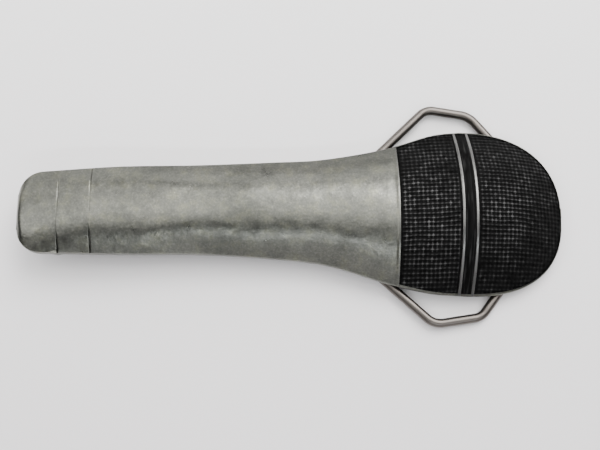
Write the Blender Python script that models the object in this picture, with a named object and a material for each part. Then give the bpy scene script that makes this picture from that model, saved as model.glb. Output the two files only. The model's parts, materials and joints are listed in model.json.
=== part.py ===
"""Belt buckle in the shape of a hand microphone.

A hollow-backed pewter casting carries three fields of black enamel on its face. On its back a steel
plate hinges a wire bail, which the fixed end of a belt folds round, and a stud takes the belt's holes.

The buckle is drawn face up, in a frame of its own: x runs along the microphone towards its head, and
z = 0 is the plane of the casting's back rim. At the end the whole buckle is set down on z = 0 of the
world, where it stands on the stud and on the bail, so it leans a little towards its head.
"""

import math

import bmesh
import bpy
from mathutils import Matrix, Vector

MM = 0.001
GAP = 0.3 * MM  # between neighbouring pieces

# Casting
TAIL_X = -59.6 * MM
TAIL_RADIUS = 5.0 * MM  # of its corners in plan
TAIL_EASE = 1.6 * MM  # how far its top line rounds off
WALL = 2.0 * MM
INNER_FOOT = 0.5 * MM
# A cross-section falls from its crown to its foot as (1 - u ** SECTION_POWER) ** SECTION_ROUNDING.
SECTION_POWER = 2.15
SECTION_ROUNDING = 1.07
# Half widths, crown heights, heights of the upright foot and the middle line, each at its x.
HALF_WIDTHS = [
    (-59.6 * MM, 8.9 * MM),
    (-50.0 * MM, 9.35 * MM),
    (-37.5 * MM, 9.9 * MM),
    (-20.0 * MM, 10.1 * MM),
    (-4.0 * MM, 10.9 * MM),
    (8.0 * MM, 12.0 * MM),
    (22.3 * MM, 15.45 * MM),
    (31.5 * MM, 17.9 * MM),
    (38.0 * MM, 18.55 * MM),
]
HEIGHTS = [
    (-59.6 * MM, 5.0 * MM),
    (-40.0 * MM, 5.5 * MM),
    (-20.0 * MM, 5.8 * MM),
    (0.0 * MM, 6.2 * MM),
    (12.0 * MM, 6.7 * MM),
    (24.0 * MM, 7.7 * MM),
    (38.0 * MM, 10.4 * MM),
]
FEET = [
    (-59.6 * MM, 3.2 * MM),
    (-40.0 * MM, 2.7 * MM),
    (-20.0 * MM, 2.2 * MM),
    (12.0 * MM, 1.6 * MM),
    (38.0 * MM, 1.2 * MM),
]
MIDDLES = [
    (-59.6 * MM, 0.3 * MM),
    (-37.5 * MM, 0.95 * MM),
    (-12.0 * MM, 1.15 * MM),
    (8.0 * MM, 0.7 * MM),
    (22.3 * MM, -0.1 * MM),
    (37.0 * MM, 0.5 * MM),
    (60.2 * MM, -0.4 * MM),
]
# Past DOME_X the head closes, its outline as a superellipse.
DOME_X = 38.0 * MM
DOME_LENGTH = 22.2 * MM
DOME_POWER = 2.4
STATION_STEP = 5.0 * MM
DOME_STATIONS = 10
DOME_END_TURN = math.radians(86)  # the last cross-section, short of the dome's tip
SECTION_STEPS = 20

# Face of the head: the lip of the handle, then the fields between two rings
MOUTH_X = 23.9 * MM
RING_X = [36.9 * MM, 39.75 * MM]
RING_WIDTH = 0.7 * MM
FIELD_DEPTH = 0.7 * MM
RECESS_MARGIN = 1.5 * MM  # how far a recess's cutter stands clear of the face
FIELD_STRIP = 0.5 * MM  # bare metal between the outline and the enamel
FIELD_END_TURN = math.radians(84)  # the enamel's last row, short of the dome's tip
FLANK_SHARE = 0.45  # how much a skin's outline shrinks for the depth that it sinks
FIELD_ROWS = {"rear_grille_enamel": 6, "band_enamel": 2, "front_grille_enamel": 10}
FIELD_STEPS = 20

# Bail: round wire whose two ends turn inwards into the hinge plate's ears
WIRE_RADIUS = 1.0 * MM
HINGE_X = 12.3 * MM
HINGE_Z = -0.3 * MM
BAIL_Z = -1.3 * MM  # centre of the wire where it lies along the rim
PIN_END_Y = 2.4 * MM
# Corners of one half, from the pin outwards, each with its bend radius.
BAIL_CORNERS = [
    ((HINGE_X, 6.8 * MM, HINGE_Z), 2.2 * MM),
    ((16.7 * MM, 10.9 * MM, BAIL_Z), 6.0 * MM),
    ((31.2 * MM, 24.5 * MM, BAIL_Z), 4.0 * MM),
    ((41.4 * MM, 22.9 * MM, BAIL_Z), 5.0 * MM),
    ((47.9 * MM, 14.6 * MM, BAIL_Z), 4.5 * MM),
]
BEND_STEPS = 5

# Hinge plate: a strip under two bosses, with two ears bent down beside it
PLATE_THICKNESS = 1.0 * MM
PLATE_Z = 1.5 * MM  # its lower face
PLATE_HALF_LENGTH = 8.5 * MM
PLATE_HALF_WIDTH = 3.3 * MM
EAR_RADIUS = 2.3 * MM
RIVET_OFFSET = 5.3 * MM  # of each rivet from the hinge axis
RIVET_RADIUS = 1.0 * MM
RIVET_HEAD_RADIUS = 1.9 * MM
RIVET_HEAD_HEIGHT = 0.9 * MM
RIVET_DEPTH = 2.0 * MM  # of its shank in the boss
HINGE_BOSS_RADIUS = 2.8 * MM

# Belt stud
STUD_X = -42.0 * MM
STUD_BOSS_RADIUS = 3.5 * MM
STUD_BOSS_Z = 1.0 * MM
STUD_SHANK_RADIUS = 1.5 * MM
STUD_SHANK_DEPTH = 2.6 * MM
STUD_FLANGE_RADIUS = 3.2 * MM
STUD_FLANGE_HEIGHT = 1.0 * MM
STUD_NECK_RADIUS = 1.6 * MM
STUD_HEAD_RADIUS = 3.1 * MM
STUD_HEAD_HEIGHT = 1.4 * MM
STUD_TIP_Z = -5.5 * MM
STUD_TIP_RADIUS = 2.0 * MM

BOSS_BITE = 0.6 * MM  # how far a boss reaches into the casting's wall
ROUND_SIDES = 24
WIRE_RESOLUTION = 2
SHARP_ANGLE = math.radians(35)

PEWTER = ("pewter", (0.42, 0.42, 0.38), 1.0, 0.42)
ENAMEL = ("black_enamel", (0.015, 0.015, 0.016), 0.0, 0.45)
WIRE_STEEL = ("wire_steel", (0.33, 0.31, 0.29), 1.0, 0.35)
PLATE_STEEL = ("plate_steel", (0.45, 0.44, 0.42), 1.0, 0.4)
STUD_STEEL = ("stud_steel", (0.5, 0.49, 0.47), 1.0, 0.3)


def clear_scene():
    for old in list(bpy.data.objects):
        bpy.data.objects.remove(old)


def material(finish):
    name, colour, metallic, roughness = finish
    made = bpy.data.materials.get(name) or bpy.data.materials.new(name)
    made.use_nodes = True
    shader = made.node_tree.nodes["Principled BSDF"]
    shader.inputs["Base Color"].default_value = (*colour, 1.0)
    shader.inputs["Metallic"].default_value = metallic
    shader.inputs["Roughness"].default_value = roughness
    return made


def add_object(name, mesh, finish=None):
    made = bpy.data.objects.new(name, mesh)
    bpy.context.collection.objects.link(made)
    if finish is None:
        made.hide_render = True
        made.display_type = "WIRE"
    else:
        mesh.materials.append(material(finish))
    return made


def solid(name, points, faces, finish=None, smooth=True):
    """An object from points and faces, with its faces turned outwards."""
    mesh = bpy.data.meshes.new(name)
    mesh.from_pydata(points, [], faces)
    shape = bmesh.new()
    shape.from_mesh(mesh)
    bmesh.ops.recalc_face_normals(shape, faces=shape.faces)
    shape.to_mesh(mesh)
    shape.free()
    if smooth:
        mesh.shade_smooth()
        mesh.set_sharp_from_angle(angle=SHARP_ANGLE)
    return add_object(name, mesh, finish)


def combine(target, tool, operation):
    """Adds a Boolean with the EXACT solver."""
    step = target.modifiers.new(tool.name, "BOOLEAN")
    step.object = tool
    step.operation = operation
    step.solver = "EXACT"


def turned(name, profile, centre, finish=None):
    """A solid of revolution about the z axis through centre; profile is (radius, z) from one end to the other."""
    points = []
    for radius, z in profile:
        for step in range(ROUND_SIDES):
            turn = math.tau * step / ROUND_SIDES
            points.append((centre[0] + radius * math.cos(turn), centre[1] + radius * math.sin(turn), z))
    faces = []
    for ring in range(len(profile) - 1):
        for step in range(ROUND_SIDES):
            after = (step + 1) % ROUND_SIDES
            low, high = ring * ROUND_SIDES, (ring + 1) * ROUND_SIDES
            faces.append((low + step, low + after, high + after, high + step))
    last = (len(profile) - 1) * ROUND_SIDES
    faces.append(tuple(range(ROUND_SIDES)))
    faces.append(tuple(last + step for step in range(ROUND_SIDES)))
    return solid(name, points, faces, finish)


def along(table, x):
    """Smooth value at x through a table's points, by cubic Hermite pieces."""
    if x <= table[0][0]:
        return table[0][1]
    slopes = []
    for i in range(len(table)):
        before, after = table[max(i - 1, 0)], table[min(i + 1, len(table) - 1)]
        slopes.append((after[1] - before[1]) / (after[0] - before[0]))
    for i in range(len(table) - 1):
        (x0, y0), (x1, y1) = table[i], table[i + 1]
        if x <= x1:
            span = x1 - x0
            s = (x - x0) / span
            rise = y0 * (2 * s**3 - 3 * s**2 + 1) + y1 * (3 * s**2 - 2 * s**3)
            bend = slopes[i] * (s**3 - 2 * s**2 + s) + slopes[i + 1] * (s**3 - s**2)
            return rise + bend * span
    return table[-1][1]


def tail_corner(x, side, radius):
    """How much the outline and the crown draw in where the tail rounds off."""
    reach = min(x - TAIL_X - side, radius)
    return radius - math.sqrt(radius**2 - (radius - reach) ** 2)


def half_width(x, side=0.0):
    """Half of the width at x of a skin whose outline lies side within the outer one."""
    if x > DOME_X:
        left = 1 - ((x - DOME_X) / (DOME_LENGTH - side)) ** DOME_POWER
        return (HALF_WIDTHS[-1][1] - side) * max(left, 0) ** (1 / DOME_POWER)
    return along(HALF_WIDTHS, x) - side - tail_corner(x, side, TAIL_RADIUS - side / 2)


def crown(x, side=0.0):
    """Height of the outer face's top line at x."""
    if x > DOME_X:
        return HEIGHTS[-1][1]
    return along(HEIGHTS, x) - tail_corner(x, side, TAIL_EASE)


def skin_x(x, side):
    """Place on an inner skin that lies under x of the outer one; past DOME_X the skins shrink towards it."""
    return x if x <= DOME_X else DOME_X + (x - DOME_X) * (DOME_LENGTH - side) / DOME_LENGTH


def skin_point(x, across, side, top, foot):
    """Point of a skin at x; across runs from 1 at its +y edge to -1 at its -y edge.

    The skin's outline lies side within the outer one, its top line is at top and its edge at foot.
    """
    half = half_width(x, side)
    away = abs(across)
    if x > DOME_X:
        reach = (x - DOME_X) / (DOME_LENGTH - side)
        width = half * away / (HALF_WIDTHS[-1][1] - side)
        away = (width**DOME_POWER + reach**DOME_POWER) ** (1 / DOME_POWER)
    fall = max(1 - away**SECTION_POWER, 0) ** SECTION_ROUNDING
    return Vector((x, along(MIDDLES, x) + half * across, foot + (top - foot) * fall))


def section(x, side, down, foot):
    """Points of one cross-section, from the rim at +y over the top to the rim at -y."""
    top = crown(x, side) - down
    arch = [
        skin_point(x, 1 - 2 * step / SECTION_STEPS, side, top, foot) for step in range(SECTION_STEPS + 1)
    ]
    first, last = arch[0], arch[-1]
    return [Vector((x, first.y, 0.0)), *arch, Vector((x, last.y, 0.0))]


def dome_place(turn, side=0.0):
    """Place along a dome's outline; turn runs from 0 at DOME_X to a quarter turn at the tip."""
    return DOME_X + (DOME_LENGTH - side) * math.sin(turn) ** (2 / DOME_POWER)


def dome_turn(x, side):
    return math.asin(((x - DOME_X) / (DOME_LENGTH - side)) ** (DOME_POWER / 2))


def even_steps(start, end, count):
    return [start + (end - start) * step / count for step in range(count + 1)]


def stations():
    """Places of the casting's cross-sections, close together where the ends round off."""
    tail = [TAIL_X + TAIL_RADIUS * share for share in (0.0, 0.04, 0.14, 0.35, 0.65, 1.0)]
    handle = even_steps(tail[-1], DOME_X, round((DOME_X - tail[-1]) / STATION_STEP))
    dome = [dome_place(turn) for turn in even_steps(0.0, DOME_END_TURN, DOME_STATIONS)]
    return tail + handle[1:] + dome[1:]


def casting_shell():
    """The hollow-backed body: outer and inner skins joined along the rim."""
    outer_x = stations()
    length = DOME_X + DOME_LENGTH - TAIL_X
    shrink = (length - 2 * WALL) / length
    inner_x = [TAIL_X + WALL + (x - TAIL_X) * shrink for x in outer_x]
    outer = [section(x, 0.0, 0.0, along(FEET, x)) for x in outer_x]
    inner = [section(x, WALL, WALL, INNER_FOOT) for x in inner_x]
    rows, columns = len(outer), len(outer[0])
    points = [p for ring in outer + inner for p in ring]
    faces = []
    for skin in (0, rows):
        for i in range(rows - 1):
            for k in range(columns - 1):
                a = (skin + i) * columns + k
                faces.append((a, a + 1, a + columns + 1, a + columns))
        for end in (skin, skin + rows - 1):
            faces.append(tuple(end * columns + k for k in range(columns)))
    under = rows * columns
    for side in (0, columns - 1):
        for i in range(rows - 1):
            a, b = i * columns + side, (i + 1) * columns + side
            faces.append((a, b, b + under, a + under))
    for end in (0, rows - 1):
        a, b = end * columns, end * columns + columns - 1
        faces.append((a, b, b + under, a + under))
    return solid("body_casting", points, faces, PEWTER)


def field(name, places, edge, depths, finish=None):
    """A curved slab between two depths under the face, through places along x, out to its strip less edge."""
    count = len(places) - 1
    points = []
    for place in places:
        reach = half_width(place, FIELD_STRIP) + edge
        for depth in depths:
            side = depth * FLANK_SHARE
            x = skin_x(place, side)
            share = min(reach / half_width(x, side), 1.0)
            for k in range(FIELD_STEPS + 1):
                across = share * (1 - 2 * k / FIELD_STEPS)
                points.append(skin_point(x, across, side, crown(x) - depth, along(FEET, x) - depth))
    faces = []
    wide = FIELD_STEPS + 1
    row = 2 * wide
    for i in range(count):
        for k in range(FIELD_STEPS):
            a = i * row + k
            faces.append((a, a + 1, a + row + 1, a + row))
            b = a + wide
            faces.append((b, b + 1, b + row + 1, b + row))
        for k in (0, FIELD_STEPS):
            a = i * row + k
            faces.append((a, a + wide, a + wide + row, a + row))
    for i in (0, count):
        for k in range(FIELD_STEPS):
            a = i * row + k
            faces.append((a, a + 1, a + wide + 1, a + wide))
    return solid(name, points, faces, finish)


def field_places(x_from, x_to, rows):
    """Places of a field's rows, even along x, or along the dome's curve where the field covers it."""
    if x_from < DOME_X:
        return even_steps(x_from, x_to, rows)
    turns = even_steps(dome_turn(x_from, FIELD_STRIP), dome_turn(x_to, FIELD_STRIP), rows)
    return [dome_place(turn, FIELD_STRIP) for turn in turns]


def enamel_fields(casting):
    """Three slabs of enamel, each in a recess cut a gap larger than itself."""
    half_ring = RING_WIDTH / 2
    dome_end = dome_place(FIELD_END_TURN, FIELD_STRIP)
    spans = [
        ("rear_grille_enamel", MOUTH_X, RING_X[0] - half_ring),
        ("band_enamel", RING_X[0] + half_ring, RING_X[1] - half_ring),
        ("front_grille_enamel", RING_X[1] + half_ring, dome_end),
    ]
    fields = []
    for name, x_from, x_to in spans:
        rows = FIELD_ROWS[name]
        opening = field_places(x_from, x_to, rows)
        recess = field(name + "_recess", opening, GAP, (-RECESS_MARGIN, FIELD_DEPTH))
        combine(casting, recess, "DIFFERENCE")
        filling = field_places(x_from + GAP, x_to - GAP, rows)
        slab = field(name, filling, 0.0, (0.0, FIELD_DEPTH - GAP), ENAMEL)
        fields += [recess, slab]
    return fields


def boss(casting, name, x, radius, foot_z, hole_radius, hole_depth):
    """A cast boss hanging from the hollow's ceiling, with a blind hole in its foot."""
    roof_z = crown(x) - WALL
    post = turned(name, [(radius, foot_z), (radius, roof_z + BOSS_BITE)], (x, 0.0))
    hole_profile = [(hole_radius, foot_z - GAP), (hole_radius, foot_z + hole_depth)]
    hole = turned(name + "_hole", hole_profile, (x, 0.0))
    combine(casting, post, "UNION")
    combine(casting, hole, "DIFFERENCE")
    return [post, hole]


def hinge_bosses(casting):
    made = []
    foot_z = PLATE_Z + PLATE_THICKNESS + GAP
    for name, x in rivet_places():
        made += boss(
            casting, name + "_boss", x, HINGE_BOSS_RADIUS, foot_z, RIVET_RADIUS + GAP, RIVET_DEPTH + GAP
        )
    return made


def stud_boss(casting):
    hole_radius = STUD_SHANK_RADIUS + GAP
    hole_depth = STUD_SHANK_DEPTH + GAP
    return boss(casting, "stud_boss", STUD_X, STUD_BOSS_RADIUS, STUD_BOSS_Z, hole_radius, hole_depth)


def rivet_places():
    return [
        ("hinge_rivet_rear", HINGE_X - RIVET_OFFSET),
        ("hinge_rivet_front", HINGE_X + RIVET_OFFSET),
    ]


def box(name, low, high, finish=None):
    points = [(x, y, z) for x in (low[0], high[0]) for y in (low[1], high[1]) for z in (low[2], high[2])]
    faces = [(0, 1, 3, 2), (4, 5, 7, 6), (0, 1, 5, 4), (2, 3, 7, 6), (0, 2, 6, 4), (1, 3, 7, 5)]
    return solid(name, points, faces, finish, smooth=False)


def ear(name, side):
    """One ear of the hinge plate, rounded about the hinge axis, outside the strip on the given side."""
    y_inner, y_outer = side * PLATE_HALF_WIDTH, side * (PLATE_HALF_WIDTH + PLATE_THICKNESS)
    top_z = PLATE_Z + PLATE_THICKNESS
    outline = [(HINGE_X + EAR_RADIUS, top_z), (HINGE_X - EAR_RADIUS, top_z)]
    half_sides = ROUND_SIDES // 2
    for step in range(half_sides + 1):
        turn = math.pi * (1 + step / half_sides)
        outline.append((HINGE_X + EAR_RADIUS * math.cos(turn), HINGE_Z + EAR_RADIUS * math.sin(turn)))
    count = len(outline)
    points = [(x, y_inner, z) for x, z in outline] + [(x, y_outer, z) for x, z in outline]
    faces = [tuple(range(count)), tuple(range(count, 2 * count))]
    for i in range(count):
        after = (i + 1) % count
        faces.append((i, after, count + after, count + i))
    return solid(name, points, faces)


def cross_pin(name, radius, y_from, y_to):
    """A round cutter along y on the hinge axis."""
    points = []
    for y in (y_from, y_to):
        for step in range(ROUND_SIDES):
            turn = math.tau * step / ROUND_SIDES
            points.append((HINGE_X + radius * math.cos(turn), y, HINGE_Z + radius * math.sin(turn)))
    faces = [tuple(range(ROUND_SIDES)), tuple(range(ROUND_SIDES, 2 * ROUND_SIDES))]
    for step in range(ROUND_SIDES):
        after = (step + 1) % ROUND_SIDES
        faces.append((step, after, ROUND_SIDES + after, ROUND_SIDES + step))
    return solid(name, points, faces)


def hinge_plate():
    """The strip, a bridge that carries the two ears, and the holes for rivets and pins."""
    top_z = PLATE_Z + PLATE_THICKNESS
    strip_low = (HINGE_X - PLATE_HALF_LENGTH, -PLATE_HALF_WIDTH + GAP, PLATE_Z)
    strip_high = (HINGE_X + PLATE_HALF_LENGTH, PLATE_HALF_WIDTH - GAP, top_z)
    plate = box("hinge_plate", strip_low, strip_high, PLATE_STEEL)
    outer_y = PLATE_HALF_WIDTH + PLATE_THICKNESS
    bridge_low = (HINGE_X - EAR_RADIUS, -outer_y, PLATE_Z)
    bridge_high = (HINGE_X + EAR_RADIUS, outer_y, top_z)
    tools = [(box("hinge_bridge", bridge_low, bridge_high), "UNION")]
    for name, side in (("hinge_ear_left", 1), ("hinge_ear_right", -1)):
        tools.append((ear(name, side), "UNION"))
    tools.append((cross_pin("hinge_pin_holes", WIRE_RADIUS + GAP, -outer_y - GAP, outer_y + GAP), "DIFFERENCE"))
    for name, x in rivet_places():
        hole_radius = RIVET_RADIUS + GAP
        hole = turned(name + "_hole", [(hole_radius, PLATE_Z - GAP), (hole_radius, top_z + GAP)], (x, 0.0))
        tools.append((hole, "DIFFERENCE"))
    for tool, operation in tools:
        combine(plate, tool, operation)
    return [plate, *(tool for tool, _ in tools)]


def hinge_rivets():
    """Two rivets, heads under the plate and shanks in the bosses."""
    seat_z = PLATE_Z - GAP
    foot_z = PLATE_Z + PLATE_THICKNESS + GAP
    profile = [
        (RIVET_HEAD_RADIUS * 0.45, seat_z - RIVET_HEAD_HEIGHT),
        (RIVET_HEAD_RADIUS * 0.85, seat_z - RIVET_HEAD_HEIGHT * 0.65),
        (RIVET_HEAD_RADIUS, seat_z - RIVET_HEAD_HEIGHT * 0.15),
        (RIVET_HEAD_RADIUS, seat_z),
        (RIVET_RADIUS, seat_z),
        (RIVET_RADIUS, foot_z + RIVET_DEPTH),
    ]
    return [turned(name, profile, (x, 0.0), PLATE_STEEL) for name, x in rivet_places()]


def belt_stud():
    """Turned stud: shank in its boss, flange, neck for the belt's hole, and a button head."""
    flange_z = STUD_BOSS_Z - GAP
    head_z = STUD_TIP_Z + STUD_HEAD_HEIGHT
    profile = [
        (STUD_TIP_RADIUS, STUD_TIP_Z),
        (STUD_HEAD_RADIUS - GAP, STUD_TIP_Z + STUD_HEAD_HEIGHT * 0.4),
        (STUD_HEAD_RADIUS, STUD_TIP_Z + STUD_HEAD_HEIGHT * 0.7),
        (STUD_HEAD_RADIUS, head_z),
        (STUD_NECK_RADIUS, head_z),
        (STUD_NECK_RADIUS, flange_z - STUD_FLANGE_HEIGHT),
        (STUD_FLANGE_RADIUS, flange_z - STUD_FLANGE_HEIGHT),
        (STUD_FLANGE_RADIUS, flange_z),
        (STUD_SHANK_RADIUS, flange_z),
        (STUD_SHANK_RADIUS, STUD_BOSS_Z + STUD_SHANK_DEPTH),
    ]
    return turned("belt_stud", profile, (STUD_X, 0.0), STUD_STEEL)


def bend(before, corner, after, radius):
    """Points of the arc of a radius that rounds a corner between two straight runs."""
    inward, outward = (before - corner).normalized(), (after - corner).normalized()
    half = inward.angle(outward) / 2
    start = corner + inward * (radius / math.tan(half))
    centre = corner + (inward + outward).normalized() * (radius / math.sin(half))
    spoke = start - centre
    turn_axis = spoke.cross(corner + outward * (radius / math.tan(half)) - centre)
    sweep = math.pi - 2 * half
    return [
        centre + Matrix.Rotation(sweep * step / BEND_STEPS, 3, turn_axis) @ spoke
        for step in range(BEND_STEPS + 1)
    ]


def bail_path():
    """Centre line of the wire, from one pin's end round the loop to the other."""
    half = [(Vector(place), radius) for place, radius in BAIL_CORNERS]
    mirrored = [(Vector((p.x, -p.y, p.z)), radius) for p, radius in reversed(half)]
    start, end = Vector((HINGE_X, PIN_END_Y, HINGE_Z)), Vector((HINGE_X, -PIN_END_Y, HINGE_Z))
    corners = [(start, 0.0), *half, *mirrored, (end, 0.0)]
    path = [start]
    for i in range(1, len(corners) - 1):
        corner, radius = corners[i]
        path += bend(corners[i - 1][0], corner, corners[i + 1][0], radius)
    return [*path, end]


def bail():
    """The wire, with its origin on the hinge axis."""
    pivot = Vector((HINGE_X, 0.0, HINGE_Z))
    curve = bpy.data.curves.new("bail", "CURVE")
    curve.dimensions = "3D"
    curve.bevel_depth = WIRE_RADIUS
    curve.bevel_resolution = WIRE_RESOLUTION
    curve.use_fill_caps = True
    path = bail_path()
    spline = curve.splines.new("POLY")
    spline.points.add(len(path) - 1)
    for place, point in zip(path, spline.points, strict=True):
        point.co = (*(place - pivot), 1.0)
    curve.materials.append(material(WIRE_STEEL))
    made = bpy.data.objects.new("bail", curve)
    bpy.context.collection.objects.link(made)
    made.location = pivot
    return made


def rest_lean():
    """How far the buckle leans towards its head when it stands on the stud's tip and the bail's bar."""
    bar_x, _, bar_z = BAIL_CORNERS[-1][0]
    rise = bar_z - STUD_TIP_Z
    run = bar_x - STUD_X - STUD_TIP_RADIUS
    return math.acos(WIRE_RADIUS / math.hypot(rise, run)) - math.atan2(run, rise)


def stand_up(pieces):
    """Parents the pieces to an empty that sets the buckle down, with the world's origin under its middle."""
    frame = bpy.data.objects.new("buckle_frame", None)
    bpy.context.collection.objects.link(frame)
    frame.rotation_euler = (0.0, rest_lean(), 0.0)
    for piece in pieces:
        piece.parent = frame
    bpy.context.view_layer.update()
    graph = bpy.context.evaluated_depsgraph_get()
    corners = []
    for piece in pieces:
        if not piece.hide_render:
            final = piece.evaluated_get(graph)
            mesh = final.to_mesh()
            corners += [final.matrix_world @ vertex.co for vertex in mesh.vertices]
            final.to_mesh_clear()
    low = [min(corner[axis] for corner in corners) for axis in range(3)]
    high = [max(corner[axis] for corner in corners) for axis in range(3)]
    frame.location = (-(low[0] + high[0]) / 2, -(low[1] + high[1]) / 2, -low[2])


def main():
    clear_scene()
    casting = casting_shell()
    pieces = [casting]
    pieces += hinge_bosses(casting)
    pieces += stud_boss(casting)
    pieces += enamel_fields(casting)
    pieces += hinge_plate()
    pieces += hinge_rivets()
    pieces.append(belt_stud())
    pieces.append(bail())
    stand_up(pieces)


main()
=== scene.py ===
"""Look of the buckle: a pewter microphone in half relief, face up on a pale table.

The pieces are drawn in the buckle's own frame, in metres: x runs along the microphone towards its head,
and z = 0 is the plane of the casting's back rim. PLACE sets them down on the table, where the buckle
stands on its stud and its bail.
"""

import json
import math

import bmesh
import bpy
import numpy as np
from mathutils import Matrix, Vector


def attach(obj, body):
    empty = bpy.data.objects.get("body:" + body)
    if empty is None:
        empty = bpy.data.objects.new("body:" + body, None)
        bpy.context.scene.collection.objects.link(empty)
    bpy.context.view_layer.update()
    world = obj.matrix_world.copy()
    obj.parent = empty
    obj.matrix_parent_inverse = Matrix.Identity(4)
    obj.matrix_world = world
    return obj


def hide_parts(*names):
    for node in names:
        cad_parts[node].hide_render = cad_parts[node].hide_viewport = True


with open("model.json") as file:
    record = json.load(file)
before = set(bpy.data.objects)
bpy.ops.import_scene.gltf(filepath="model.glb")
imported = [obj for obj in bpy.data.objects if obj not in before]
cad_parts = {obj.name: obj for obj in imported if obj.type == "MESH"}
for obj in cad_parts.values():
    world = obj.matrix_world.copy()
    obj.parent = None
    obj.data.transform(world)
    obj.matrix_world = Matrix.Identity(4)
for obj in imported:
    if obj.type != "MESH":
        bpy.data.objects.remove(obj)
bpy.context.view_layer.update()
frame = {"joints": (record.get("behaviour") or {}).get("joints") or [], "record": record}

MM = 0.001

# Casting
TAIL_X = -59.6
TAIL_RADIUS = 5.0  # of its corners in plan
TAIL_EASE = 1.6  # how far its top line rounds off
WALL = 2.0
SKIRT_BULGE = 0.15
INNER_FOOT = 0.5
SECTION_POWER = 2.15
SECTION_ROUNDING = 1.07
HALF_WIDTHS = [
    (-59.6, 8.9), (-50.0, 9.35), (-37.5, 9.9), (-20.0, 10.1), (-4.0, 10.9),
    (8.0, 12.0), (22.3, 15.45), (31.5, 17.9), (38.0, 18.55),
]
HEIGHTS = [(-59.6, 5.0), (-40.0, 5.5), (-20.0, 5.8), (0.0, 6.2), (12.0, 6.7), (24.0, 7.7), (38.0, 10.4)]
FEET = [(-59.6, 3.2), (-40.0, 2.7), (-20.0, 2.2), (12.0, 1.6), (38.0, 1.2)]  # of the face's upright foot
MIDDLES = [(-59.6, 0.3), (-37.5, 0.95), (-12.0, 1.15), (8.0, 0.7), (22.3, -0.1), (37.0, 0.5), (60.2, -0.4)]
DOME_X = 38.0
DOME_LENGTH = 22.2
DOME_POWER = 2.4

# Face of the head
MOUTH_X = 23.9
LIP_RADIUS = 0.16
RING_X = [36.9, 39.75]
RING_WIDTH = 0.62
RECESS_DEPTH = 0.75
STRIPS = (0.4, 0.1)  # bare metal between the outline and the enamel, on the -y and the +y side
STRIP_BLEND = (44.0, 58.5)  # where the -y strip narrows to the +y one
EDGE_LAP = 0.01  # of the enamel and the metal beside it
RECESS_TIP = DOME_X + DOME_LENGTH - SKIRT_BULGE - STRIPS[1]
REAR_PITCH = (0.925, 0.95)  # of the weave, along x and along y
FRONT_PITCH = (0.93, 0.92)
WEAVE_HEIGHT = 0.3
GRILLE_SINK = 0.05  # of the weave's crests under the metal round it
BAND_SINK = 0.26
FIELD_MARGIN = 0.45  # smooth enamel beside the lip and the rings

# Two engraved lines round the tail, each as its x at LINE_Y, its slant and its bend along y
LINE_Y = 1.0
FRONT_LINE = (-43.25, -0.0265, -0.0037)
REAR_LINE = (-50.42, -0.0296, -0.0021)
LINE_SPANS = [(-51.5, -49.8), (-44.4, -42.5)]  # where the face needs close cross-sections for them
LINE_WIDTH = 0.14
LINE_DEPTH = 0.22
BURR_PLACE = (-50.9, -8.75)
BURR_SIZE = (0.8, 0.35)

# Hardware on the back
HINGE_X = 12.3
HINGE_Z = -0.3
PLATE_Z = 1.5
PLATE_THICKNESS = 1.0
PLATE_HALF_LENGTH = 8.5
PLATE_HALF_WIDTH = 3.0
EAR_Y = (3.3, 4.3)
EAR_RADIUS = 2.3
EAR_EASE = 0.15
EAR_HOLE_ROOM = 0.2  # round the wire
RIVET_OFFSET = 5.3
RIVET_RADIUS = 1.0
RIVET_HEAD_RADIUS = 1.9
RIVET_DEPTH = 2.0  # of its shank in the boss
BOSS_RADIUS = 2.8
BOSS_ROOT_Z = 4.7  # halfway between the two, which follow the casting's slope
BOSS_ROOT_RISE = 0.3
STUD_X = -42.0
STUD_BOSS_RADIUS = 3.5
STUD_BOSS_Z = 1.0
STUD_BOSS_ROOT_Z = 3.7
WIRE_RADIUS = 1.0
BAIL_Z = -1.3
ROUND_SIDES = 48
LATTICE = 97  # side of wander's random lattice
WEAVE_CHANCES = 211  # side of the weave's random table


def along(table, x):
    """Smooth values at x through a table's points, by cubic Hermite pieces."""
    xs = np.array([point[0] for point in table])
    ys = np.array([point[1] for point in table])
    last = len(xs) - 1
    before = np.maximum(np.arange(last + 1) - 1, 0)
    after = np.minimum(np.arange(last + 1) + 1, last)
    slopes = (ys[after] - ys[before]) / (xs[after] - xs[before])
    x = np.clip(np.asarray(x, float), xs[0], xs[-1])
    i = np.clip(np.searchsorted(xs, x) - 1, 0, last - 1)
    span = xs[i + 1] - xs[i]
    s = (x - xs[i]) / span
    rise = ys[i] * (2 * s**3 - 3 * s**2 + 1) + ys[i + 1] * (3 * s**2 - 2 * s**3)
    bend = slopes[i] * (s**3 - 2 * s**2 + s) + slopes[i + 1] * (s**3 - s**2)
    return rise + bend * span


def smooth(low, high, value):
    s = np.clip((value - low) / (high - low), 0, 1)
    return s * s * (3 - 2 * s)


def wander(x, y, size, seed):
    """Smooth uneven surface between -1 and 1, whose bumps are about size across."""
    lattice = np.random.default_rng(seed).uniform(-1, 1, (LATTICE, LATTICE))
    a, b = np.asarray(x, float) / size + 500.5, np.asarray(y, float) / size + 500.5
    i, k = np.floor(a).astype(int), np.floor(b).astype(int)
    s, t = a - i, b - k
    s, t = s * s * (3 - 2 * s), t * t * (3 - 2 * t)
    i_next, k_next = (i + 1) % LATTICE, (k + 1) % LATTICE
    i, k = i % LATTICE, k % LATTICE
    low = lattice[i, k] * (1 - t) + lattice[i, k_next] * t
    high = lattice[i_next, k] * (1 - t) + lattice[i_next, k_next] * t
    return low * (1 - s) + high * s


def tail_corner(x, side, radius):
    """How much the outline and the crown draw in where the tail rounds off."""
    reach = np.clip(x - TAIL_X - side, 0, radius)
    return radius - np.sqrt(radius**2 - (radius - reach) ** 2)


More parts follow.
